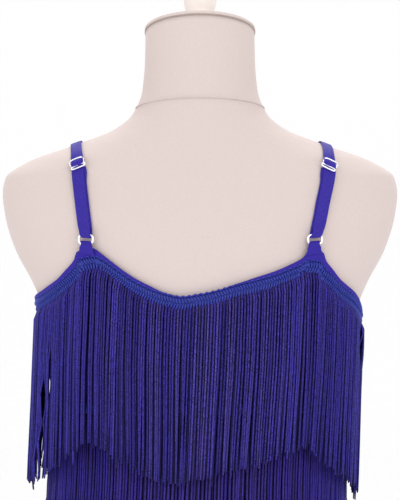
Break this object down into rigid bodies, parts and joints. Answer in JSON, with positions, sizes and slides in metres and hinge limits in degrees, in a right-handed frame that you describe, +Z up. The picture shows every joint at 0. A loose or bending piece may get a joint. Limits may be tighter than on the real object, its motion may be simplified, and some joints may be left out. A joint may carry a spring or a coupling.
{
  "type": "latin dance dress on a limbless dress form",
  "caption": "sleeveless stage dress covered in tiers of hanging fringe, with thin adjustable shoulder straps, worn by a limbless dress form on a round stand",
  "frame": {"origin": "on the floor, at the middle of the whole object's footprint, under the middle of the round base", "axes": "+Z up; +Y is the front of the dress and the back faces -Y; +X is to the right when the back is seen"},
  "size_m": [0.3934, 0.35, 1.5062],
  "materials": {
    "form_cloth": "cream linen cover, matt, stretched smooth",
    "knob": "cream, satin",
    "stand": "off-white powder coat",
    "slip_cloth": "royal blue stretch knit with a low sheen",
    "binding": "royal blue folded knit binding",
    "braid": "royal blue chain-stitched gimp braid, slightly shiny",
    "fringe": "royal blue chainette strands with a greyish sheen",
    "strap_webbing": "royal blue elastic webbing, satin",
    "strap_metal": "bright plated wire"
  },
  "bodies": {
    "root": {"dress_form": "form_cloth", "neck_cap": "form_cloth", "neck_knob": "knob", "stand_flange": "stand", "stand_base": "stand", "stand_pole": "stand", "slip_back": "slip_cloth", "binding_back": "binding", "braid_back": "braid", "slip_front": "slip_cloth", "binding_front": "binding", "braid_front": "braid", "tier_2_heading": "braid", "tier_3_heading": "braid", "tier_4_heading": "braid", "tier_2_fringe": "fringe", "tier_3_fringe": "fringe", "tier_4_fringe": "fringe", "tier_1_fringe_back": "fringe", "tier_1_fringe_front": "fringe", "strap_left": "strap_webbing", "tab_left": "strap_webbing", "ring_left": "strap_metal", "slider_left": "strap_metal", "strap_right": "strap_webbing", "tab_right": "strap_webbing", "ring_right": "strap_metal", "slider_right": "strap_metal"}
  },
  "joints": []
}
